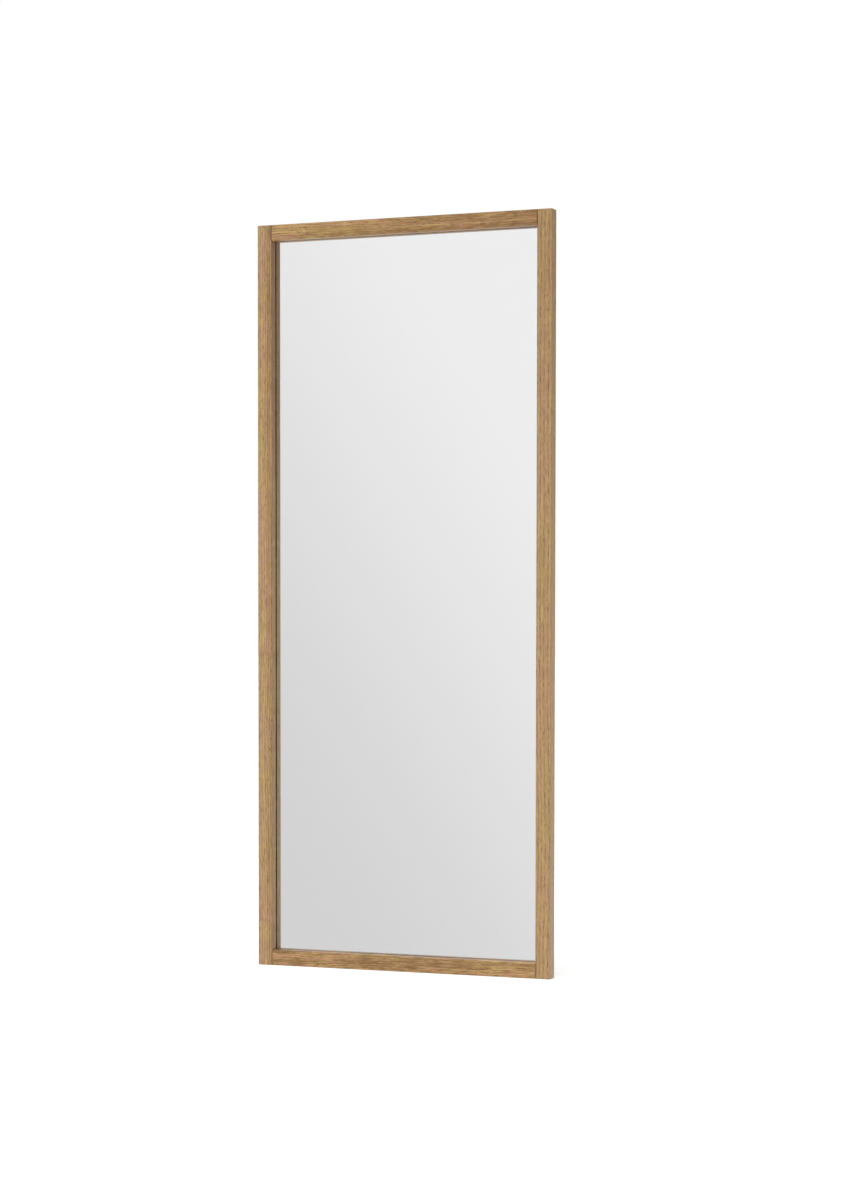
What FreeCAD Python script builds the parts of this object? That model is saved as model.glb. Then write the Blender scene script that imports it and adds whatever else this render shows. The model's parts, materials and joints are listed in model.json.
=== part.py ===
"""Full-length mirror in a solid oak frame, with its backing and its hanging hardware.

X runs to the right as seen from the front, Y from the front to the back, and Z up.
The origin is under the middle of the whole object, at the height of its base. All sizes are in mm.
"""

import FreeCAD, Part
import math
import os

from FreeCAD import Vector

# Oak frame
HEIGHT = 1500.0
WIDTH = 632.0
MEMBER_FACE = 31.0
MEMBER_DEPTH = 26.0
OUTER_ARRIS = 2.0
INNER_ARRIS = 1.5
JOINT_ARRIS = 1.0
FOOT_ARRIS = {"left": 0.6, "right": 2.0}

# Rebate along the back of the opening, and what lies in it from front to back
REBATE_WIDTH = 8.0
REBATE_DEPTH = 7.0
GLASS_THICKNESS = 3.8
SILVER_THICKNESS = 0.2
PANEL_THICKNESS = 3.0
EDGE_GAP = 1.0
BLOCK_LENGTH = 40.0

# Blind dowels, two at each corner
DOWEL_RADIUS = 3.0
DOWEL_LENGTH = 30.0
DOWEL_CHAMFER = 0.6
DOWEL_HOLE_DEPTH = 15.5
DOWEL_OFFSETS = (8.0, 22.0)

# Pan-head screws
SHANK_RADIUS = 1.75
SHANK_LENGTH = 14.0
TIP_LENGTH = 3.0
HEAD_RADIUS = 3.5
HEAD_EDGE = 0.8
HEAD_HEIGHT = 2.2
RECESS_WIDTH = 1.0
RECESS_LENGTH = 4.2
RECESS_DEPTH = 1.3
SEAT_GAP = 0.05

# Turn buttons that hold the back panel
BUTTON_THICKNESS = 1.2
BUTTON_ROOT_RADIUS = 6.0
BUTTON_TIP_RADIUS = 4.0
BUTTON_REACH = 17.0
BUTTON_EDGE = 0.3
PIVOT_CLEARANCE = 0.1
BUTTON_HEIGHTS = {"low": 300.0, "middle": 750.0, "high": 1200.0}

# D-ring hangers
HANGER_HEIGHT = 1350.0
HANGER_OFF_CENTRE = 302.0
STRAP_WIDTH = 12.0
STRAP_THICKNESS = 1.0
STRAP_LENGTH = 46.0
STRAP_SCREWS = (24.0, 38.0)
RING_WIRE_RADIUS = 1.25
RING_HALF_WIDTH = 10.0
RING_CORNER = 3.0
RING_SIDE = 5.0
RING_OFF_STRAP = 0.3
CURL_SLOT = 0.6

# Rubber bumpers on the back's corners
BUMPER_RADIUS = 6.0
BUMPER_HEIGHT = 5.0
BUMPER_EDGE = 0.8
BUMPER_INSET = 14.0

# Planes and edges that follow from these
FRONT = -(MEMBER_DEPTH + BUMPER_HEIGHT) / 2
BACK = FRONT + MEMBER_DEPTH
GLASS_FRONT = BACK - REBATE_DEPTH
OUTSIDE = WIDTH / 2
INSIDE = OUTSIDE - MEMBER_FACE
REBATE_SIDE = INSIDE + REBATE_WIDTH
REBATE_FOOT = MEMBER_FACE - REBATE_WIDTH
REBATE_TOP = HEIGHT - REBATE_FOOT
BACK_STRIP = (OUTSIDE + REBATE_SIDE) / 2
RAIL_STRIP = REBATE_FOOT / 2
DOWEL_DEPTH = (FRONT + GLASS_FRONT) / 2
RING_AXIS = BACK + STRAP_THICKNESS + RING_OFF_STRAP + RING_WIRE_RADIUS
SIDES = {"left": -1, "right": 1}


def block(x, y, z):
    """A box from three (low, high) pairs."""
    size = [high - low for low, high in (x, y, z)]
    return Part.makeBox(*size, Vector(x[0], y[0], z[0]))


def sided(side, low, high):
    """The X range from low to high on the right, or its mirror image on the left."""
    return (low, high) if side > 0 else (-high, -low)


def edges_where(shape, test):
    """The edges whose two ends both pass the test."""
    return [e for e in shape.Edges if all(test(v.Point) for v in e.Vertexes)]


def near(a, b):
    return abs(a - b) < 1e-6


def rounded(shape, radius, test):
    return shape.makeFillet(radius, edges_where(shape, test))


def dowel_heights():
    """The heights of the dowels' axes, from the bottom up."""
    return [*DOWEL_OFFSETS, *(HEIGHT - offset for offset in reversed(DOWEL_OFFSETS))]


def dowel_hole(side, height):
    """The drilling for one dowel, from the joint's plane into the stile and into the rail."""
    start = Vector(side * INSIDE - DOWEL_HOLE_DEPTH, DOWEL_DEPTH, height)
    return Part.makeCylinder(DOWEL_RADIUS, 2 * DOWEL_HOLE_DEPTH, start, Vector(1, 0, 0))


def dowel(side, height):
    start = Vector(side * INSIDE - DOWEL_LENGTH / 2, DOWEL_DEPTH, height)
    pin = Part.makeCylinder(DOWEL_RADIUS, DOWEL_LENGTH, start, Vector(1, 0, 0))
    rims = [e for e in pin.Edges if isinstance(e.Curve, Part.Circle)]
    return pin.makeChamfer(DOWEL_CHAMFER, rims)


def shank(x, z, seat):
    """A screw's shank and point, running forwards from the plane that its head sits on."""
    straight = SHANK_LENGTH - TIP_LENGTH
    forwards = Vector(0, -1, 0)
    body = Part.makeCylinder(SHANK_RADIUS, straight, Vector(x, seat, z), forwards)
    tip_start = Vector(x, seat - straight, z)
    tip = Part.makeCone(SHANK_RADIUS, 0, TIP_LENGTH, tip_start, forwards)
    return body.fuse(tip)


def pan_head(x, z, seat):
    """A domed head with a cross recess, on the plane at seat."""
    rise = HEAD_HEIGHT - HEAD_EDGE
    centre = HEAD_HEIGHT - (HEAD_RADIUS**2 + rise**2) / (2 * rise)
    dome = HEAD_HEIGHT - centre
    half = HEAD_RADIUS / 2
    middle = Vector(half, centre + math.sqrt(dome**2 - half**2), 0)
    foot, rim = Vector(HEAD_RADIUS, 0, 0), Vector(HEAD_RADIUS, HEAD_EDGE, 0)
    crown = Vector(0, HEAD_HEIGHT, 0)
    outline = Part.Wire(
        [
            Part.makeLine(Vector(0, 0, 0), foot),
            Part.makeLine(foot, rim),
            Part.Arc(rim, middle, crown).toShape(),
            Part.makeLine(crown, Vector(0, 0, 0)),
        ]
    )
    head = Part.Face(outline).revolve(Vector(0, 0, 0), Vector(0, 1, 0), 360)
    arm, width = RECESS_LENGTH / 2, RECESS_WIDTH / 2
    depth = (HEAD_HEIGHT - RECESS_DEPTH, HEAD_HEIGHT + 1)
    across = block((-arm, arm), depth, (-width, width))
    upright = block((-width, width), depth, (-arm, arm))
    head = head.cut(across.fuse(upright))
    head.translate(Vector(x, seat, z))
    return head


def screw(x, z, seat):
    return shank(x, z, seat).fuse(pan_head(x, z, seat)).removeSplitter()


def button_places():
    """Each turn button's name, pivot and the angle about Y that turns its tip from +X."""
    places = {}
    for name, side in SIDES.items():
        for level, height in BUTTON_HEIGHTS.items():
            inwards = 180 if side > 0 else 0
            places[f"turn_button_{name}_{level}"] = (side * BACK_STRIP, height, inwards)
    places["turn_button_bottom"] = (0.0, RAIL_STRIP, -90)
    places["turn_button_top"] = (0.0, HEIGHT - RAIL_STRIP, 90)
    return places


def button_seat():
    """The plane that the head of a turn button's screw sits on."""
    return BACK + BUTTON_THICKNESS + SEAT_GAP


def strap_screw_places():
    return [
        (side * HANGER_OFF_CENTRE, HANGER_HEIGHT - drop)
        for side in SIDES.values()
        for drop in STRAP_SCREWS
    ]


def pilot_holes():
    """The holes that every screw's shank fills in the frame."""
    seats = [(x, z, button_seat()) for x, z, _ in button_places().values()]
    seats += [(x, z, BACK + STRAP_THICKNESS) for x, z in strap_screw_places()]
    return [shank(*place) for place in seats]


def stile(name):
    """A full-height upright with a stopped rebate between the rails' rebates."""
    side = SIDES[name]
    wood = block(sided(side, INSIDE, OUTSIDE), (FRONT, BACK), (0, HEIGHT))
    outer, inner = side * OUTSIDE, side * INSIDE
    wood = rounded(wood, OUTER_ARRIS, lambda p: near(p.x, outer) and near(p.y, FRONT))
    wood = rounded(wood, OUTER_ARRIS, lambda p: near(p.x, outer) and near(p.y, BACK))
    wood = rounded(wood, INNER_ARRIS, lambda p: near(p.x, inner) and near(p.y, FRONT))
    wood = rounded(wood, OUTER_ARRIS, lambda p: near(p.z, HEIGHT) and not near(p.x, inner))
    foot_arris = FOOT_ARRIS[name]
    wood = rounded(wood, foot_arris, lambda p: near(p.z, 0) and not near(p.x, inner))
    rebate = block(
        sided(side, INSIDE - 1, REBATE_SIDE),
        (GLASS_FRONT, BACK + 1),
        (REBATE_FOOT, REBATE_TOP),
    )
    drillings = [dowel_hole(side, height) for height in dowel_heights()]
    return wood.cut([rebate, *drillings, *pilot_holes()])


def rail(top):
    """A horizontal member between the stiles, with its rebate towards the opening."""
    low = HEIGHT - MEMBER_FACE if top else 0
    wood = block((-INSIDE, INSIDE), (FRONT, BACK), (low, low + MEMBER_FACE))
    wood = rounded(wood, OUTER_ARRIS, lambda p: near(p.y, FRONT) and near(p.z, low))
    high = low + MEMBER_FACE
    wood = rounded(wood, OUTER_ARRIS, lambda p: near(p.y, FRONT) and near(p.z, high))
    for joint in (-INSIDE, INSIDE):
        wood = rounded(wood, JOINT_ARRIS, lambda p: near(p.x, joint) and near(p.y, FRONT))
    if top:
        rebate_range = (low - 1, REBATE_TOP)
    else:
        rebate_range = (REBATE_FOOT, high + 1)
    rebate = block((-INSIDE - 1, INSIDE + 1), (GLASS_FRONT, BACK + 1), rebate_range)
    drillings = [
        dowel_hole(side, height) for side in SIDES.values() for height in dowel_heights()
    ]
    return wood.cut([rebate, *drillings, *pilot_holes()])


def sheet(front, thickness):
    """A sheet that fills the rebate, less the gap round its edges."""
    half = REBATE_SIDE - EDGE_GAP
    heights = (REBATE_FOOT + EDGE_GAP, REBATE_TOP - EDGE_GAP)
    return block((-half, half), (front, front + thickness), heights)


def setting_block(side):
    """A rubber block under the glass, a quarter of its width from the middle."""
    middle = side * REBATE_SIDE / 2
    return block(
        (middle - BLOCK_LENGTH / 2, middle + BLOCK_LENGTH / 2),
        (GLASS_FRONT, GLASS_FRONT + GLASS_THICKNESS + SILVER_THICKNESS),
        (REBATE_FOOT, REBATE_FOOT + EDGE_GAP),
    )


def turn_button(x, z, angle):
    """A flat tapered plate with a round end about its screw and a smaller round tip."""
    lean = math.asin((BUTTON_ROOT_RADIUS - BUTTON_TIP_RADIUS) / BUTTON_REACH)

    def tangent(centre, radius, up):
        return Vector(centre + radius * math.sin(lean), 0, up * radius * math.cos(lean))

    root = [tangent(0, BUTTON_ROOT_RADIUS, up) for up in (-1, 1)]
    tip = [tangent(BUTTON_REACH, BUTTON_TIP_RADIUS, up) for up in (-1, 1)]
    root_end = Vector(-BUTTON_ROOT_RADIUS, 0, 0)
    tip_end = Vector(BUTTON_REACH + BUTTON_TIP_RADIUS, 0, 0)
    outline = Part.Wire(
        [
            Part.makeLine(root[0], tip[0]),
            Part.Arc(tip[0], tip_end, tip[1]).toShape(),
            Part.makeLine(tip[1], root[1]),
            Part.Arc(root[1], root_end, root[0]).toShape(),
        ]
    )
    plate = Part.Face(outline).extrude(Vector(0, BUTTON_THICKNESS, 0))
    plate = plate.makeChamfer(
        BUTTON_EDGE, edges_where(plate, lambda p: near(p.y, BUTTON_THICKNESS))
    )
    hole = Part.makeCylinder(
        SHANK_RADIUS + PIVOT_CLEARANCE, BUTTON_THICKNESS, Vector(0, 0, 0), Vector(0, 1, 0)
    )
    plate = plate.cut(hole)
    plate.rotate(Vector(0, 0, 0), Vector(0, 1, 0), angle)
    plate.translate(Vector(x, BACK, z))
    return plate


def hanger_strap(side):
    """A steel strap with a rounded foot, its head curled round the ring's straight bar."""
    half = STRAP_WIDTH / 2
    foot = half - STRAP_LENGTH
    outline = Part.Wire(
        [
            Part.makeLine(Vector(-half, 0, foot), Vector(-half, 0, 0)),
            Part.makeLine(Vector(-half, 0, 0), Vector(half, 0, 0)),
            Part.makeLine(Vector(half, 0, 0), Vector(half, 0, foot)),
            Part.Arc(
                Vector(half, 0, foot), Vector(0, 0, foot - half), Vector(-half, 0, foot)
            ).toShape(),
        ]
    )
    plate = Part.Face(outline).extrude(Vector(0, STRAP_THICKNESS, 0))
    axis_start = Vector(-half, RING_AXIS - BACK, 0)
    bore_radius = RING_WIRE_RADIUS + PIVOT_CLEARANCE
    curl_radius = bore_radius + STRAP_THICKNESS
    curl = Part.makeCylinder(curl_radius, STRAP_WIDTH, axis_start, Vector(1, 0, 0))
    bore = Part.makeCylinder(bore_radius, STRAP_WIDTH, axis_start, Vector(1, 0, 0))
    slot = block(
        (-half, half),
        (STRAP_THICKNESS, STRAP_THICKNESS + CURL_SLOT),
        (-curl_radius, -bore_radius * 2 / 3),
    )
    strap = plate.fuse(curl).removeSplitter().cut([bore, slot])
    holes = [
        Part.makeCylinder(
            SHANK_RADIUS + PIVOT_CLEARANCE,
            STRAP_THICKNESS,
            Vector(0, 0, -drop),
            Vector(0, 1, 0),
        )
        for drop in STRAP_SCREWS
    ]
    strap = strap.cut(holes)
    strap.translate(Vector(side * HANGER_OFF_CENTRE, BACK, HANGER_HEIGHT))
    return strap


def hanger_ring(side):
    """A D-shaped ring of round wire that hangs from its straight bar."""
    bar = RING_HALF_WIDTH - RING_CORNER
    shoulder = -RING_CORNER
    waist = shoulder - RING_SIDE
    turn = RING_CORNER * math.sqrt(0.5)

    def at(x, z):
        return Vector(x, 0, z)

    def corner(way):
        return at(way * (bar + turn), shoulder + turn)

    path = Part.Wire(
        [
            Part.makeLine(at(0, 0), at(bar, 0)),
            Part.Arc(at(bar, 0), corner(1), at(RING_HALF_WIDTH, shoulder)).toShape(),
            Part.makeLine(at(RING_HALF_WIDTH, shoulder), at(RING_HALF_WIDTH, waist)),
            Part.Arc(
                at(RING_HALF_WIDTH, waist),
                at(0, waist - RING_HALF_WIDTH),
                at(-RING_HALF_WIDTH, waist),
            ).toShape(),
            Part.makeLine(at(-RING_HALF_WIDTH, waist), at(-RING_HALF_WIDTH, shoulder)),
            Part.Arc(at(-RING_HALF_WIDTH, shoulder), corner(-1), at(-bar, 0)).toShape(),
            Part.makeLine(at(-bar, 0), at(0, 0)),
        ]
    )
    section = Part.Wire(Part.makeCircle(RING_WIRE_RADIUS, at(0, 0), Vector(1, 0, 0)))
    ring = path.makePipeShell([section], True, True)
    ring.translate(Vector(side * HANGER_OFF_CENTRE, RING_AXIS, HANGER_HEIGHT))
    return ring


def bumper(side, height):
    pad = Part.makeCylinder(
        BUMPER_RADIUS, BUMPER_HEIGHT, Vector(side * BACK_STRIP, BACK, height), Vector(0, 1, 0)
    )
    return rounded(pad, BUMPER_EDGE, lambda p: near(p.y, BACK + BUMPER_HEIGHT))


def frame_nodes():
    nodes = {f"stile_{name}": stile(name) for name in SIDES}
    nodes["rail_top"] = rail(True)
    nodes["rail_bottom"] = rail(False)
    corners = ["bottom_outer", "bottom_inner", "top_inner", "top_outer"]
    for name, side in SIDES.items():
        for corner, height in zip(corners, dowel_heights()):
            nodes[f"dowel_{name}_{corner}"] = dowel(side, height)
    return nodes


def rebate_nodes():
    silver_front = GLASS_FRONT + GLASS_THICKNESS
    nodes = {
        "glass_pane": sheet(GLASS_FRONT, GLASS_THICKNESS),
        "silver_coating": sheet(silver_front, SILVER_THICKNESS),
        "back_panel": sheet(silver_front + SILVER_THICKNESS, PANEL_THICKNESS),
    }
    for name, side in SIDES.items():
        nodes[f"setting_block_{name}"] = setting_block(side)
    return nodes


def hardware_nodes():
    nodes = {name: turn_button(*place) for name, place in button_places().items()}
    nodes["turn_button_screws"] = Part.makeCompound(
        [screw(x, z, button_seat()) for x, z, _ in button_places().values()]
    )
    nodes["hanger_screws"] = Part.makeCompound(
        [screw(x, z, BACK + STRAP_THICKNESS) for x, z in strap_screw_places()]
    )
    for name, side in SIDES.items():
        nodes[f"hanger_strap_{name}"] = hanger_strap(side)
        nodes[f"hanger_ring_{name}"] = hanger_ring(side)
        nodes[f"bumper_{name}_bottom"] = bumper(side, BUMPER_INSET)
        nodes[f"bumper_{name}_top"] = bumper(side, HEIGHT - BUMPER_INSET)
    return nodes


os.makedirs("parts", exist_ok=True)
for node, shape in {**frame_nodes(), **rebate_nodes(), **hardware_nodes()}.items():
    shape.exportStep(f"parts/{node}.step")
    solids = len(shape.Solids)
    state = "valid" if shape.isValid() else "NOT VALID"
    print(f"{node}: {solids} solid(s), {shape.Volume:.1f} mm3, {state}")
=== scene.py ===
"""The looks of a full-length mirror in an oak frame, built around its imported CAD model.

Metres, in the model's own frame: X to the right from the front, Y from front to back, Z up.
"""

import json
import math

import bmesh
import bpy
from mathutils import Euler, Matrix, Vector


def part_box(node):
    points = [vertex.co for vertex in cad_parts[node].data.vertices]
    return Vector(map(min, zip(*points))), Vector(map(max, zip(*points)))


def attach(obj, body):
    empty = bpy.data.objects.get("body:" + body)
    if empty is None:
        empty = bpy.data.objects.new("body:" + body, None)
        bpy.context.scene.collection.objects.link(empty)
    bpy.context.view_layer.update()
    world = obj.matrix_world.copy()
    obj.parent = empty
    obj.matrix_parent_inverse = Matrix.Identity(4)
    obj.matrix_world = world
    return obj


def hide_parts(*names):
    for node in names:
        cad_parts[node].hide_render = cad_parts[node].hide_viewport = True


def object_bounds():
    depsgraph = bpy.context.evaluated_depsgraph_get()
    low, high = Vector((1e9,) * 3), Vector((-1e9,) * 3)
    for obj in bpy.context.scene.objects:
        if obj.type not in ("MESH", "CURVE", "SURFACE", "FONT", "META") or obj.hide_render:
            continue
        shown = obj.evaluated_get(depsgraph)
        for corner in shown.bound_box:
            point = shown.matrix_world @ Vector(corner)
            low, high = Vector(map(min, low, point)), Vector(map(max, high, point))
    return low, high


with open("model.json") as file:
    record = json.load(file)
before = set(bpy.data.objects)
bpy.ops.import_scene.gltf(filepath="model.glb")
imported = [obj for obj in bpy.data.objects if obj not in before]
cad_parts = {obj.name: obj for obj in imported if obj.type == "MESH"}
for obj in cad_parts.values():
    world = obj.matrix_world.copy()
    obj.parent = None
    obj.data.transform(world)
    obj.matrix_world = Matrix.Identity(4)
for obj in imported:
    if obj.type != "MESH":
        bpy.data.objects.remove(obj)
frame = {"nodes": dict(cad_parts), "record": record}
CAD_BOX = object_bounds()
MM = 0.001

# Camera: an 82 mm view from the mirror's right, a little below its middle
CAMERA_SPOT = Vector((2.1002, -5.0395, 0.6859))
CAMERA_YAW = math.radians(22.207)
CAMERA_DROP = math.radians(2.291)
CAMERA_ROLL = math.radians(0.063)
LENS = 81.99
SENSOR = 36.0
SHIFT_UP = 0.1151

# What the mirror sees of the studio: a soft edge between a bright and a less bright side
BRIGHT_SIDE = Vector((0.7765, -0.3296, 0.5373))
SOFT_EDGE = (-0.087, 0.101)
DIM_LEVEL = 0.703
BRIGHT_LEVEL = 0.929
FLOOR_LEVEL = 0.95
FRONT_RIGHT_LEVEL = 0.58
BEHIND_LEVELS = (1.25, 0.40)

# Where those levels change, as parts of a ray's direction: rightward, upward and backward
FRONT_RIGHT_EDGE = (0.0, 0.35)
FLOOR_EDGE = (-0.14, -0.32)
BEHIND_EDGE = (-0.14, 0.16)
BACK_EDGE = (-0.05, 0.20)

# What lights the object: a dome, bright overhead and dark at the back right, over a glowing floor
DARK_SIDE = Vector((0.8, 0.6, 0.0))
OVERHEAD = Vector((-0.3, -0.2, 0.93))
DOME_LEVEL = 0.75
DOME_DARK_LEVEL = 0.0
DARK_RANGE = (-0.20, 0.50)
OVERHEAD_LEVEL = 2.15
OVERHEAD_RANGE = (0.60, 0.98)
FLOOR_GLOW = 0.34
FLOOR_WHITE = 0.55
FLOOR_RADIUS = 60.0
FLOOR_DROP = 0.2 * MM

# A low lamp on the right, for the foot of the frame's right side
LOW_LAMP_SPOT = (2.2, -0.7, 0.12)
LOW_LAMP_TARGET = (0.3, 0.0, 0.3)
LOW_LAMP_SIZE = (1.2, 0.8)
LOW_LAMP_WATTS = 15.0


class Graph:
    """One node tree, with a short call for each node that it needs."""

    def __init__(self, tree):
        self.tree = tree

    def fill(self, socket, value):
        if isinstance(value, bpy.types.NodeSocket):
            self.tree.links.new(value, socket)
        elif value is not None:
            socket.default_value = value

    def add(self, kind, inputs, output=0, **options):
        """Adds a node and returns one of its outputs. inputs go by name or by number."""
        node = self.tree.nodes.new(kind)
        for key, value in options.items():
            setattr(node, key, value)
        for key, value in inputs.items():
            self.fill(node.inputs[key], value)
        return node.outputs[output]

    def math(self, operation, a, b=None, clamp=False):
        inputs = {0: a, 1: b}
        return self.add("ShaderNodeMath", inputs, operation=operation, use_clamp=clamp)

    def plus(self, a, b):
        return self.math("ADD", a, b)

    def minus(self, a, b):
        return self.math("SUBTRACT", a, b)

    def times(self, a, b):
        return self.math("MULTIPLY", a, b)

    def weigh(self, *parts):
        """The sum of some values, each times its own weight."""
        terms = [self.times(value, weight) for value, weight in parts]
        total = terms.pop()
        while terms:
            total = self.plus(terms.pop(), total)
        return total

    def split(self, vector):
        node = self.tree.nodes.new("ShaderNodeSeparateXYZ")
        self.fill(node.inputs[0], vector)
        return tuple(node.outputs)

    def join(self, x, y, z):
        return self.add("ShaderNodeCombineXYZ", {0: x, 1: y, 2: z})

    def ramp(self, value, low, high, to_low=0.0, to_high=1.0):
        """A smooth step from to_low to to_high while value goes from low to high."""
        inputs = {0: value, 1: low, 2: high, 3: to_low, 4: to_high}
        return self.add("ShaderNodeMapRange", inputs, interpolation_type="SMOOTHSTEP")

    def noise(self, vector, scale=1.0, detail=2.0, roughness=0.5):
        inputs = {"Vector": vector, "Scale": scale, "Detail": detail, "Roughness": roughness}
        return self.add("ShaderNodeTexNoise", inputs)

    def mix(self, factor, a, b):
        """A mix of two colours, by socket number, because the other kinds' sockets share their names."""
        return self.add("ShaderNodeMix", {0: factor, 6: a, 7: b}, output=2, data_type="RGBA")

    def length_of(self, vector):
        return self.add("ShaderNodeVectorMath", {0: vector}, output="Value", operation="LENGTH")


def colour(red, green, blue):
    """A colour socket's value, from linear red, green and blue."""
    return (red, green, blue, 1.0)


def grey(level):
    return colour(level, level, level)


WHITE = grey(1.0)


def new_material(name, **settings):
    """A Principled material with plain values on its sockets. Returns it, its graph and its shader."""
    material = bpy.data.materials.new(name)
    material.use_nodes = True
    graph = Graph(material.node_tree)
    shader = material.node_tree.nodes["Principled BSDF"]
    for socket, value in settings.items():
        shader.inputs[socket.replace("_", " ")].default_value = value
    return material, graph, shader


def set_bump(graph, shader, height, distance, strength=1.0):
    inputs = {"Height": height, "Distance": distance, "Strength": strength}
    graph.fill(shader.inputs["Normal"], graph.add("ShaderNodeBump", inputs))


def object_point(graph):
    return graph.add("ShaderNodeTexCoord", {}, output="Object")


def object_axes(graph):
    return graph.split(object_point(graph))


def face_normal(graph):
    return graph.split(graph.add("ShaderNodeNewGeometry", {}, output="Normal"))


# Oak -----------------------------------------------------------------------------------

RING_WIDTH = 3.6 * MM
DARK_DASH = colour(0.150, 0.078, 0.030)
PORE = colour(0.120, 0.062, 0.026)
RAY_FLECK = colour(0.520, 0.375, 0.210)
KNOT = colour(0.075, 0.036, 0.016)
JOINT_SHADE = colour(0.080, 0.040, 0.018)
# Painted shade for the rebate's faces, as dark as the recess behind the glass's edge
PAINTED_REBATE_SHADE = colour(0.026, 0.013, 0.005)


class Streaks:
    """Noise drawn out along the grain. shift keeps one kind from repeating another."""

    def __init__(self, width, reach, detail, roughness=0.55, shift=0.0):
        self.width, self.reach, self.detail = width, reach, detail
        self.roughness, self.shift = roughness, shift


BAND_WIDTH = 12 * MM
HUE = Streaks(4.5 * MM, 42 * MM, 2.0, shift=5.0)
FIGURE = Streaks(3.0 * MM, 30 * MM, 3.0, roughness=0.65, shift=11.0)
DASHES = Streaks(1.7 * MM, 15 * MM, 2.0, shift=17.0)
PORES = Streaks(0.5 * MM, 11 * MM, 1.0, shift=23.0)
FIBRES = Streaks(0.75 * MM, 28 * MM, 3.0, roughness=0.6, shift=29.0)
STREAK_LEAN = 0.35
STREAK_DEPTH = 0.7

# The two broad changes of colour, from yellow to pink and toward brown, and what each is made of
BANDS_IN_HUE = 0.4
HUE_IN_HUE = 0.6
FIGURE_IN_BROWN = 0.50
RINGS_IN_BROWN = 0.28
BANDS_IN_BROWN = 0.22
RING_TONE_WIDTH = 5.5 * MM
RING_TONE_REACH = 1.2
NOISE_MIDDLE = 0.5
BROWN_GAIN = 4.0

# Where noise turns into a mark
HUE_EDGE = (0.40, 0.60)
EARLY_RISE = (0.0, 0.10)
EARLY_FALL = (0.12, 0.62)
DASH_EDGE = (0.60, 0.68)
EARLY_IN_DASHES = 0.04
PORE_EDGE = (0.64, 0.72)
EARLY_IN_PORES = 0.16
FIBRE_EDGE = (0.35, 0.75)
FLECK_EDGE = (0.64, 0.74)
FLECKS_PER_METRE = (300.0, 75.0, 85.0)
END_GRAIN_EDGE = (0.55, 0.95)
INNER_FACE_EDGE = (0.5, 0.9)

# How strongly each mark covers the tone below it
DASH_SHARE = 0.75
EARLY_SHARE = 0.20
FIBRE_SHARE = 0.34
FLECK_SHARE = 0.50
PORE_SHARE = 0.60
END_GRAIN_SHARE = 0.55
# How strongly the painted shade covers the rebate's faces
REBATE_SHADE_SHARE = 0.9

# How the grain lines wander, and how they part round an eye or a knot
SLOW_WANDER = 1.7
QUICK_WANDER = (28.0, 28.0, 11.0)
QUICK_SHARE = 0.22
PARTING_SIZE = (9 * MM, 14 * MM, 34 * MM)
PARTING_SHIFT = 7.5 * MM
KNOT_SIZE = (2.2 * MM, 2.2 * MM, 3.6 * MM)
KNOT_EDGE = (0.45, 1.0)
KNOT_SHARE = 0.8

# The shade at the joints, full up to the line's own half width, and the reach of the painted shade on
# the rebate
JOINT_LINE = 0.2 * MM
FOOT_SHADE = 0.85
HEAD_SHADE = 0.95
REBATE_CLEAR = 1.5 * MM
REBATE_STEP = 0.2 * MM

# The lacquered surface
LACQUER_IOR = 1.48
LACQUER_ROUGHNESS = 0.31
PORE_ROUGHNESS = 0.22
FIBRE_ROUGHNESS = 0.12
FIBRE_HEIGHT = 0.3
DASH_DEPTH = 0.5
EARLY_DEPTH = 0.2
GRAIN_DEPTH = 0.12 * MM
GRAIN_STRENGTH = 0.6


class Board:
    """One piece of oak: which way it runs, how it was sawn, and its own colours.

    pith is where the rings' centre lies, across the board and through its thickness. bend is how far
    the grain wanders sideways, and reach how long its bands are. tones are yellow, pink and brown.
    depth lists (place along, share of brown) from one end to the other, and contrast is how much that
    share varies. heart is an edge that is browner: (place across where it starts, where it is full,
    share), and inner lists the share of painted shade that is added along the face beside the glass.
    joints is how far the shade of its foot and head joints spreads. eye and knot are places (across,
    through, along) that the grain lines part round, and a knot is dark besides.
    """

    def __init__(
        self,
        along,
        seed,
        pith,
        bend,
        tones,
        depth,
        contrast,
        reach=260 * MM,
        heart=None,
        inner=None,
        joints=(0.9 * MM, 0.9 * MM),
        eye=None,
        knot=None,
    ):
        self.along, self.seed, self.pith, self.bend, self.reach = along, seed, pith, bend, reach
        self.yellow, self.pink, self.brown = tones
        self.depth, self.contrast = depth, contrast
        self.heart, self.inner = heart, inner
        self.joints, self.eye, self.knot = joints, eye, knot


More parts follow.
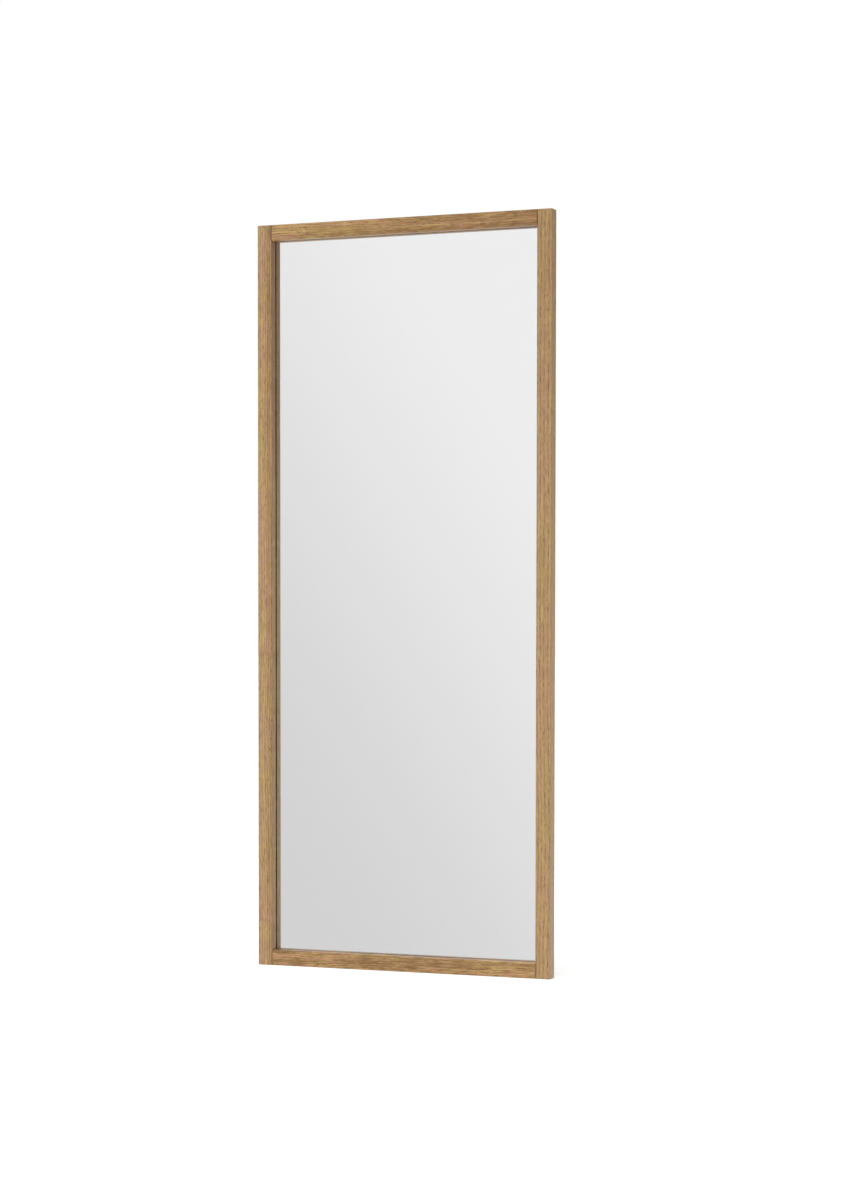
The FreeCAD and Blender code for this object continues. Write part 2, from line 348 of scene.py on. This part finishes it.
class Grain:
    """A board's axes inside its material, and the values that follow its grain lines."""

    def __init__(self, g, board):
        self.g, self.board = g, board
        self.x, self.y, self.z = x, y, z = object_axes(g)
        self.across, self.deep, self.length = (x, y, z) if board.along == "Z" else (z, y, x)
        self.radius = self.ring_radius()

    def ring_radius(self):
        """How far each point is from the pith, along rings that wander and part round a place."""
        g, board = self.g, self.board
        slow = g.noise(g.join(board.seed, g.times(self.length, SLOW_WANDER), board.seed), detail=1.0)
        across, deep, length = (g.times(*pair) for pair in zip(self.axes(), QUICK_WANDER))
        quick = g.noise(g.join(across, deep, g.plus(length, board.seed)), detail=3.0)
        wander = g.weigh(
            (g.minus(slow, NOISE_MIDDLE), board.bend),
            (g.minus(quick, NOISE_MIDDLE), QUICK_SHARE * board.bend),
        )
        for place in (board.eye, board.knot):
            if place:
                wander = g.plus(wander, self.parting(place))
        sideways = g.plus(g.minus(self.across, board.pith[0]), wander)
        return g.length_of(g.join(sideways, g.minus(self.deep, board.pith[1]), 0.0))

    def axes(self):
        return self.across, self.deep, self.length

    def from_place(self, place, sizes):
        """Distance from a place, counted in sizes across, through and along the board."""
        g = self.g
        offsets = [g.minus(axis, at) for axis, at in zip(self.axes(), place)]
        return g.length_of(g.join(*(g.math("DIVIDE", *pair) for pair in zip(offsets, sizes))))

    def parting(self, place):
        """The sideways shift of the grain lines round a place."""
        return self.g.ramp(self.from_place(place, PARTING_SIZE), 0.0, 1.0, PARTING_SHIFT, 0.0)

    def knot(self):
        """A pin knot, a little longer along the grain."""
        return self.g.ramp(self.from_place(self.board.knot, KNOT_SIZE), *KNOT_EDGE, KNOT_SHARE, 0.0)

    def streaks(self, kind):
        """Noise in streaks of one kind."""
        g = self.g
        point = g.join(
            g.times(self.radius, 1 / kind.width),
            g.times(g.plus(self.deep, g.times(self.across, STREAK_LEAN)), STREAK_DEPTH / kind.width),
            g.plus(g.times(self.length, 1 / kind.reach), self.board.seed + kind.shift),
        )
        return g.noise(point, detail=kind.detail, roughness=kind.roughness)

    def single_rings(self):
        """Noise that gives each ring its own value."""
        g = self.g
        ring = g.math("DIVIDE", self.radius, RING_TONE_WIDTH)
        point = g.join(ring, self.board.seed, g.times(self.length, RING_TONE_REACH))
        return g.noise(point, detail=1.0)

    def early_wood(self):
        g = self.g
        ring = g.math("FRACT", g.math("DIVIDE", self.radius, RING_WIDTH))
        return g.times(g.ramp(ring, *EARLY_RISE), g.ramp(ring, *EARLY_FALL, 1.0, 0.0))

    def ray_flecks(self):
        g = self.g
        point = g.join(*(g.times(axis, count) for axis, count in zip(self.axes(), FLECKS_PER_METRE)))
        return g.ramp(g.noise(point), *FLECK_EDGE)

    def share_along(self, shares):
        """A share that changes from place to place along the board."""
        g = self.g
        axis = 0 if self.board.along == "X" else 2
        inputs = {0: self.length, 1: CAD_BOX[0][axis], 2: CAD_BOX[1][axis]}
        node = g.tree.nodes.new("ShaderNodeValToRGB")
        g.fill(node.inputs[0], g.add("ShaderNodeMapRange", inputs))
        node.color_ramp.interpolation = "EASE"
        stops = node.color_ramp.elements
        stops[0].position, stops[1].position = 0.0, 1.0
        while len(stops) < len(shares):
            stops.new(0.5)
        for stop, (place, share) in zip(stops, shares):
            stop.position = place
            stop.color = grey(share)
        return node.outputs[0]

    def heart(self):
        """Added brown: the heart edge's on most faces, and the inner list's, which is painted shade, on
        the face by the glass.
        """
        g, board = self.g, self.board
        start, full, share = board.heart
        by_glass = g.ramp(face_normal(g)[0], *INNER_FACE_EDGE)
        at_edge = g.times(g.ramp(self.across, start, full, 0.0, share), g.minus(1.0, by_glass))
        # Painted shade on the face by the glass, from the inner list's shares along the board
        return g.plus(at_edge, g.times(self.share_along(board.inner), by_glass))

    def end_grain(self):
        """1 on faces that cut across the fibres, 0 on the others."""
        normal = face_normal(self.g)
        facing = self.g.math("ABSOLUTE", normal[2] if self.board.along == "Z" else normal[0])
        return self.g.ramp(facing, *END_GRAIN_EDGE)

    def joint_shade(self):
        """Shade along the joints between the stiles and the rails."""
        g = self.g
        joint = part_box("rail_top")[1].x
        foot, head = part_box("rail_bottom")[1].z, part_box("rail_top")[0].z
        foot_reach, head_reach = self.board.joints
        off_joint = g.math("ABSOLUTE", g.minus(g.math("ABSOLUTE", self.x), joint))
        at_foot = g.ramp(off_joint, JOINT_LINE, foot_reach, FOOT_SHADE, 0.0)
        at_head = g.ramp(off_joint, JOINT_LINE, head_reach, HEAD_SHADE, 0.0)
        at_foot = g.times(at_foot, g.math("LESS_THAN", self.z, foot))
        at_head = g.times(at_head, g.math("GREATER_THAN", self.z, head))
        return g.plus(at_foot, at_head)

    def painted_shade_in_rebate(self):
        """1 on the faces of the rebate, which get painted shade: the dark of the recess that the glass
        shows behind its edge. 1 on the faces of the rebate, which are stained dark so that the glass
        doesn't show them.
        """
        g = self.g
        low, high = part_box("glass_pane")
        within = g.math("LESS_THAN", g.math("ABSOLUTE", self.x), high.x + REBATE_CLEAR)
        within = g.times(within, g.math("GREATER_THAN", self.z, low.z - REBATE_CLEAR))
        within = g.times(within, g.math("LESS_THAN", self.z, high.z + REBATE_CLEAR))
        return g.times(within, g.math("GREATER_THAN", self.y, low.y - REBATE_STEP))


def broad_tone(grain):
    """Yellow and pink tones, and a share of brown from bands, single rings and figure."""
    g, board = grain.g, grain.board
    bands = grain.streaks(Streaks(BAND_WIDTH, board.reach, 2.0))
    pinkness = g.weigh((bands, BANDS_IN_HUE), (grain.streaks(HUE), HUE_IN_HUE))
    tone = g.mix(g.ramp(pinkness, *HUE_EDGE), board.yellow, board.pink)
    lightness = g.weigh(
        (grain.streaks(FIGURE), FIGURE_IN_BROWN),
        (grain.single_rings(), RINGS_IN_BROWN),
        (bands, BANDS_IN_BROWN),
    )
    brown = g.plus(
        grain.share_along(board.depth),
        g.times(g.minus(NOISE_MIDDLE, lightness), BROWN_GAIN * board.contrast),
    )
    # The heart edge's brown, and the painted shade on the face by the glass
    if board.heart:
        brown = g.plus(brown, grain.heart())
    return g.mix(g.math("MULTIPLY", brown, 1.0, clamp=True), tone, board.brown)


def oak(name, board):
    """Satin lacquered oak that follows one set of grain lines on all its faces."""
    material, g, shader = new_material(name, IOR=LACQUER_IOR)
    grain = Grain(g, board)

    # Open pores gather in the early wood, as dark dashes and as fine dots
    early = grain.early_wood()
    dashes = g.ramp(g.plus(grain.streaks(DASHES), g.times(early, EARLY_IN_DASHES)), *DASH_EDGE)
    pores = g.ramp(g.plus(grain.streaks(PORES), g.times(early, EARLY_IN_PORES)), *PORE_EDGE)
    fibre = grain.streaks(FIBRES)

    layers = [
        (dashes, DASH_SHARE * min(board.contrast, 1.0), DARK_DASH),
        (early, EARLY_SHARE, board.brown),
        (g.ramp(fibre, *FIBRE_EDGE), FIBRE_SHARE, board.brown),
        (grain.ray_flecks(), FLECK_SHARE, RAY_FLECK),
        (pores, PORE_SHARE, PORE),
        (grain.end_grain(), END_GRAIN_SHARE, DARK_DASH),
        (grain.joint_shade(), 1.0, JOINT_SHADE),
        # Painted shade on the rebate's faces, for the dark recess behind the glass's edge
        (grain.painted_shade_in_rebate(), REBATE_SHADE_SHARE, PAINTED_REBATE_SHADE),
    ]
    if board.knot:
        layers.append((grain.knot(), 1.0, KNOT))
    tone = broad_tone(grain)
    for mask, share, cover in layers:
        tone = g.mix(g.times(mask, share), tone, cover)
    g.fill(shader.inputs["Base Color"], tone)

    rough = g.plus(LACQUER_ROUGHNESS, g.times(pores, PORE_ROUGHNESS))
    g.fill(shader.inputs["Roughness"], g.plus(rough, g.times(fibre, FIBRE_ROUGHNESS)))
    sunk = g.plus(g.plus(pores, g.times(dashes, DASH_DEPTH)), g.times(early, EARLY_DEPTH))
    set_bump(g, shader, g.minus(g.times(fibre, FIBRE_HEIGHT), sunk), GRAIN_DEPTH, GRAIN_STRENGTH)
    return material


LEFT_TONES = (colour(0.535, 0.385, 0.130), colour(0.510, 0.295, 0.178), colour(0.250, 0.128, 0.044))
RIGHT_TONES = (colour(0.500, 0.350, 0.132), colour(0.475, 0.280, 0.152), colour(0.245, 0.128, 0.046))
TOP_TONES = (colour(0.545, 0.375, 0.122), colour(0.515, 0.285, 0.138), colour(0.215, 0.100, 0.026))
BOTTOM_TONES = (colour(0.560, 0.380, 0.130), colour(0.535, 0.300, 0.142), colour(0.215, 0.102, 0.028))


def oak_members():
    right = CAD_BOX[1].x
    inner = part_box("rail_top")[1].x
    boards = {
        "stile_left": Board(
            along="Z",
            seed=3.1,
            pith=(-right - 0.060, 0.070),
            bend=22 * MM,
            tones=LEFT_TONES,
            depth=[(0.0, 0.22), (1.0, 0.22)],
            contrast=0.72,
            heart=(-inner - 12 * MM, -inner - 8 * MM, 0.28),
            # Painted shade on the face by the glass: none at the foot, most at the head
            inner=[(0.0, 0.0), (0.5, 0.10), (1.0, 0.68)],
            joints=(1.2 * MM, 3.2 * MM),
            eye=(-inner - 8.5 * MM, -15 * MM, 0.452),
            knot=(-inner, -6 * MM, 0.486),
        ),
        "stile_right": Board(
            along="Z",
            seed=11.7,
            pith=(right + 0.035, 0.085),
            bend=18 * MM,
            tones=RIGHT_TONES,
            depth=[(0.0, 0.18), (0.55, 0.22), (1.0, 0.38)],
            contrast=0.45,
            joints=(1.1 * MM, 1.9 * MM),
        ),
        "rail_top": Board(
            along="X",
            seed=23.4,
            pith=(1.560, 0.060),
            bend=16 * MM,
            tones=TOP_TONES,
            depth=[(0.0, 0.18), (0.25, 0.22), (0.60, 0.50), (1.0, 0.66)],
            contrast=1.0,
            reach=140 * MM,
        ),
        "rail_bottom": Board(
            along="X",
            seed=37.9,
            pith=(-0.050, 0.040),
            bend=30 * MM,
            tones=BOTTOM_TONES,
            depth=[
                (0.0, 0.46),
                (0.22, 0.34),
                (0.42, 0.54),
                (0.68, 0.54),
                (0.86, 0.40),
                (1.0, 0.34),
            ],
            contrast=1.35,
            reach=70 * MM,
        ),
    }
    for node, board in boards.items():
        name = node.replace("stile", "oak").replace("rail", "oak")
        dress(node, oak(name, board))


# The other materials ------------------------------------------------------------------


GLASS_TINT = colour(0.982, 0.990, 0.984)
GLASS_IOR = 1.52
GLASS_WAVES = 2.0
SILVER_TINT = colour(0.955, 0.941, 0.951)
SILVER_WAVES = 1.5
WAVE_DEPTH = 0.02 * MM
WAVE_STRENGTH = 0.3


def add_waviness(g, shader, waves_per_metre):
    """The slight waviness that float glass has, and that its silvering follows."""
    x, _, z = object_axes(g)
    point = g.join(g.times(x, waves_per_metre), 0.0, g.times(z, waves_per_metre))
    set_bump(g, shader, g.noise(point, detail=1.0), WAVE_DEPTH, WAVE_STRENGTH)


def clear_glass():
    """Float glass, faintly green."""
    material, g, shader = new_material(
        "float_glass",
        Base_Color=GLASS_TINT,
        Roughness=0.0,
        IOR=GLASS_IOR,
        Transmission_Weight=1.0,
    )
    add_waviness(g, shader, GLASS_WAVES)
    return material


def silvering():
    """The reflecting layer, which shows things sharp."""
    material, g, shader = new_material(
        "silvering",
        Base_Color=SILVER_TINT,
        Metallic=1.0,
        Roughness=0.0,
    )
    add_waviness(g, shader, SILVER_WAVES)
    return material


def hardboard():
    """Brown fibreboard: short tangled fibres, a faint press pattern and a waxy sheen."""
    material, g, shader = new_material("hardboard", IOR=1.45)
    x, y, z = object_axes(g)
    point = g.join(x, y, z)
    clumps = g.noise(point, scale=55.0, detail=5.0, roughness=0.65)
    strands = g.noise(g.join(g.times(x, 900.0), y, g.times(z, 260.0)), detail=3.0)
    strands_across = g.noise(g.join(g.times(x, 240.0), y, g.times(z, 860.0)), detail=3.0)
    tangle = g.math("MAXIMUM", strands, strands_across)
    speck = g.ramp(g.noise(point, scale=1500.0, detail=1.0), 0.66, 0.74)
    dark, light = colour(0.205, 0.118, 0.058), colour(0.265, 0.160, 0.082)
    tone = g.mix(g.ramp(clumps, 0.3, 0.7), dark, light)
    tone = g.mix(g.times(g.ramp(tangle, 0.5, 0.8), 0.45), tone, colour(0.340, 0.220, 0.120))
    tone = g.mix(g.times(speck, 0.5), tone, colour(0.090, 0.048, 0.024))
    g.fill(shader.inputs["Base Color"], tone)
    g.fill(shader.inputs["Roughness"], g.ramp(tangle, 0.3, 0.8, 0.42, 0.62))
    set_bump(g, shader, g.plus(g.times(tangle, 0.6), clumps), 0.10 * MM, 0.5)
    return material


def zinc_plate():
    """Bright zinc plate: bluish, crystalline in patches, with fine tumbling marks."""
    material, g, shader = new_material("zinc_plate", Metallic=1.0)
    point = object_point(g)
    cells = g.add("ShaderNodeTexVoronoi", {"Vector": point, "Scale": 700.0}, output="Color")
    patches = g.noise(point, scale=160.0, detail=3.0)
    marks = g.noise(point, scale=2600.0, detail=2.0, roughness=0.7)
    crystal, _, _ = g.split(cells)
    tone = g.mix(crystal, colour(0.58, 0.59, 0.61), colour(0.70, 0.70, 0.69))
    tone = g.mix(g.times(g.ramp(patches, 0.45, 0.7), 0.35), tone, colour(0.60, 0.56, 0.47))
    g.fill(shader.inputs["Base Color"], tone)
    g.fill(shader.inputs["Roughness"], g.ramp(marks, 0.3, 0.7, 0.22, 0.42))
    set_bump(g, shader, marks, 0.02 * MM, 0.4)
    return material


def black_rubber():
    """Moulded rubber with a fine stipple and a dusty bloom."""
    material, g, shader = new_material("black_rubber", IOR=1.5)
    point = object_point(g)
    stipple = g.noise(point, scale=2200.0, detail=2.0)
    bloom = g.noise(point, scale=130.0, detail=4.0)
    black, dusty = colour(0.018, 0.018, 0.019), colour(0.050, 0.049, 0.048)
    tone = g.mix(g.ramp(bloom, 0.4, 0.75), black, dusty)
    g.fill(shader.inputs["Base Color"], tone)
    g.fill(shader.inputs["Roughness"], g.ramp(stipple, 0.3, 0.7, 0.55, 0.78))
    set_bump(g, shader, stipple, 0.04 * MM, 0.5)
    return material


def beech():
    """Plain beech for the dowels, with short brown flecks."""
    material, g, shader = new_material("beech", Roughness=0.6, IOR=1.45)
    x, y, z = object_axes(g)
    fleck = g.noise(g.join(g.times(x, 160.0), g.times(y, 1300.0), g.times(z, 1300.0)), detail=2.0)
    pale, brown = colour(0.600, 0.420, 0.260), colour(0.390, 0.230, 0.120)
    tone = g.mix(g.ramp(fleck, 0.45, 0.7), pale, brown)
    g.fill(shader.inputs["Base Color"], tone)
    set_bump(g, shader, fleck, 0.05 * MM, 0.4)
    return material


# Pieces ----------------------------------------------------------------------------------


def finish_mesh(name, mesh, material, node, body="frame"):
    """Makes an object of a bmesh that stands for one CAD node and moves with its body."""
    data = bpy.data.meshes.new(name)
    mesh.to_mesh(data)
    mesh.free()
    piece = bpy.data.objects.new(name, data)
    bpy.context.scene.collection.objects.link(piece)
    data.materials.append(material)
    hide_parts(node)
    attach(piece, body)


def slab(low, high, edge, segments=2):
    """A box with all its edges rounded."""
    mesh = bmesh.new()
    bmesh.ops.create_cube(mesh, size=1.0)
    size, middle = high - low, (low + high) / 2
    for vertex in mesh.verts:
        vertex.co = Vector(c * s for c, s in zip(vertex.co, size)) + middle
    bmesh.ops.bevel(
        mesh,
        geom=mesh.edges[:],
        offset=edge,
        segments=segments,
        profile=0.5,
        affect="EDGES",
        clamp_overlap=True,
    )
    return mesh


HAIR = Vector((0, 0.04 * MM, 0))
GROUND_EDGE = 0.5 * MM
SILVER_INSET = Vector((0.6 * MM, 0, 0.6 * MM))
SILVER_EDGE = 0.03 * MM


def glass_and_silver():
    """The pane with ground edges, and its silvering, each a hair clear of what it touches."""
    low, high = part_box("glass_pane")
    pane = slab(low + HAIR, high - HAIR, GROUND_EDGE)
    finish_mesh("glass", pane, clear_glass(), "glass_pane")
    low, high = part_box("silver_coating")
    layer = slab(low + SILVER_INSET, high - SILVER_INSET - HAIR, SILVER_EDGE, segments=1)
    finish_mesh("silvering", layer, silvering(), "silver_coating")


def dress(node, material):
    """Gives a CAD node that keeps its shape a finished material."""
    piece = frame["nodes"][node]
    piece.data.materials.clear()
    piece.data.materials.append(material)


def hidden_and_hardware():
    """Every CAD node but the oak, the glass and the silver, by its slot in the record."""
    slots = {
        "beech": beech(),
        "fibreboard": hardboard(),
        "zinc_plate": zinc_plate(),
        "rubber": black_rubber(),
    }
    for part in frame["record"]["subparts"]:
        if part["material_slot"] in slots:
            dress(part["node"], slots[part["material_slot"]])


# Studio ----------------------------------------------------------------------------------


def studio_floor():
    """A wide white floor that the mirror doesn't show, brighter to the camera than it lights."""
    mesh = bmesh.new()
    bmesh.ops.create_circle(mesh, cap_ends=True, radius=FLOOR_RADIUS, segments=96)
    data = bpy.data.meshes.new("floor")
    mesh.to_mesh(data)
    mesh.free()
    floor = bpy.data.objects.new("floor", data)
    bpy.context.scene.collection.objects.link(floor)
    floor.location.z = CAD_BOX[0].z - FLOOR_DROP
    material, g, shader = new_material("floor_paint", Roughness=0.9, IOR=1.3)
    mottle = g.noise(object_point(g), scale=3.0, detail=2.0)
    g.fill(shader.inputs["Base Color"], g.mix(mottle, grey(0.58), grey(0.60)))
    shader.inputs["Emission Color"].default_value = WHITE
    seen = g.add("ShaderNodeLightPath", {}, output="Is Camera Ray")
    g.fill(shader.inputs["Emission Strength"], g.ramp(seen, 0.0, 1.0, FLOOR_GLOW, FLOOR_WHITE))
    data.materials.append(material)
    floor.visible_glossy = False
    floor.visible_transmission = False


def studio_air():
    """What the studio's air answers, by the kind of ray that asks.

    The camera sees white. Rays that come off the mirror or through the glass see a soft gradient. All
    others see the dome that lights the object.
    """
    world = bpy.data.worlds.new("studio")
    bpy.context.scene.world = world
    world.use_nodes = True
    g = Graph(world.node_tree)
    background = world.node_tree.nodes["Background"]
    direction = g.add("ShaderNodeTexCoord", {}, output="Generated")
    right, back, up = g.split(direction)

    def toward(way):
        inputs = {0: direction, 1: way.normalized()}
        return g.add("ShaderNodeVectorMath", inputs, output="Value", operation="DOT_PRODUCT")

    lighting = g.ramp(toward(DARK_SIDE), *DARK_RANGE, DOME_LEVEL, DOME_DARK_LEVEL)
    lighting = g.plus(lighting, g.ramp(toward(OVERHEAD), *OVERHEAD_RANGE, 0.0, OVERHEAD_LEVEL))
    in_front = g.ramp(toward(BRIGHT_SIDE), *SOFT_EDGE, DIM_LEVEL, BRIGHT_LEVEL)
    in_front = g.mix(g.ramp(right, *FRONT_RIGHT_EDGE), in_front, grey(FRONT_RIGHT_LEVEL))
    in_front = g.mix(g.ramp(up, *FLOOR_EDGE), in_front, grey(FLOOR_LEVEL))
    behind = g.ramp(up, *BEHIND_EDGE, *BEHIND_LEVELS)
    reflected = g.mix(g.ramp(back, *BACK_EDGE), in_front, behind)
    path = g.tree.nodes.new("ShaderNodeLightPath").outputs
    mirrored = g.math("MAXIMUM", path["Is Glossy Ray"], path["Is Transmission Ray"])
    level = g.mix(mirrored, lighting, reflected)
    g.fill(background.inputs[0], g.mix(path["Is Camera Ray"], level, WHITE))


def soft_light(name, spot, target, size, power):
    """A white lamp that neither the mirror nor the glass shows."""
    light = bpy.data.lights.new(name, "AREA")
    light.shape = "RECTANGLE"
    light.size, light.size_y = size
    light.energy = power
    lamp = bpy.data.objects.new(name, light)
    bpy.context.scene.collection.objects.link(lamp)
    lamp.location = spot
    lamp.rotation_euler = (Vector(target) - Vector(spot)).to_track_quat("-Z", "Y").to_euler()
    lamp.visible_glossy = False
    lamp.visible_transmission = False


def studio_camera():
    data = bpy.data.cameras.new("camera")
    data.lens = LENS
    data.sensor_width = SENSOR
    data.shift_y = SHIFT_UP
    camera = bpy.data.objects.new("camera", data)
    bpy.context.scene.collection.objects.link(camera)
    camera.location = CAMERA_SPOT
    look = Euler((math.pi / 2 - CAMERA_DROP, 0.0, CAMERA_YAW)).to_matrix()
    roll = Euler((0.0, 0.0, CAMERA_ROLL)).to_matrix()
    camera.rotation_euler = (look @ roll).to_euler()
    bpy.context.scene.camera = camera


oak_members()
glass_and_silver()
hidden_and_hardware()
studio_floor()
studio_air()
soft_light("low_right", LOW_LAMP_SPOT, LOW_LAMP_TARGET, LOW_LAMP_SIZE, LOW_LAMP_WATTS)
studio_camera()
bpy.context.scene.view_settings.view_transform = "Standard"
# Not blurred, or the frame's inner faces lose light that the mirror throws on them
bpy.context.scene.cycles.blur_glossy = 0.0
